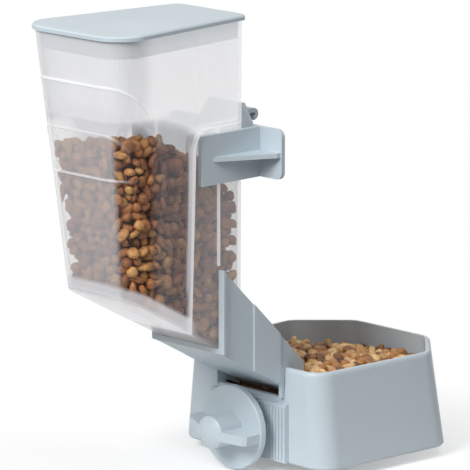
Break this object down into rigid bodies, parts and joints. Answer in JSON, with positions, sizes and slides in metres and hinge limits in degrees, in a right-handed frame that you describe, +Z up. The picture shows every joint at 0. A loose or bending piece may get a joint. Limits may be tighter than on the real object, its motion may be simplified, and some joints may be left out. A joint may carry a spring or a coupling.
{
  "type": "gravity pet feeder",
  "caption": "Gravity pet feeder that clamps to cage wires: frosted hopper with lift-off lid, slanted chute, eight-sided bowl, wing nut clamp and sliding upper clip.",
  "frame": {"origin": "on the wing nut's axis, at the ribbed face that the cage wires are clamped against", "axes": "+X from the hopper to the bowl, +Z up, Y across"},
  "size_m": [0.3048, 0.1489, 0.3117],
  "materials": {
    "pale_plastic": "satin",
    "frosted_plastic": "frosted",
    "dry_food": "rough"
  },
  "bodies": {
    "root": {"hopper": "frosted_plastic", "chute": "pale_plastic", "bowl": "pale_plastic", "hopper_kibble": "dry_food", "bowl_kibble": "dry_food"},
    "knob": {"knob": "pale_plastic"},
    "clip": {"clip": "pale_plastic"},
    "lid": {"lid": "pale_plastic"}
  },
  "joints": [
    {"name": "knob_turn", "type": "hinge", "parent": "root", "child": "knob", "pos_m": [0, 0, 0], "axis": [-1, 0, 0], "continuous": true},
    {"name": "clip_slide", "type": "slide", "parent": "root", "child": "clip", "axis": [0, 0, 1], "range_m": [-0.05, 0.002]},
    {"name": "lid_lift", "type": "slide", "parent": "root", "child": "lid", "axis": [0, 0, 1], "range_m": [0, 0.03]}
  ]
}
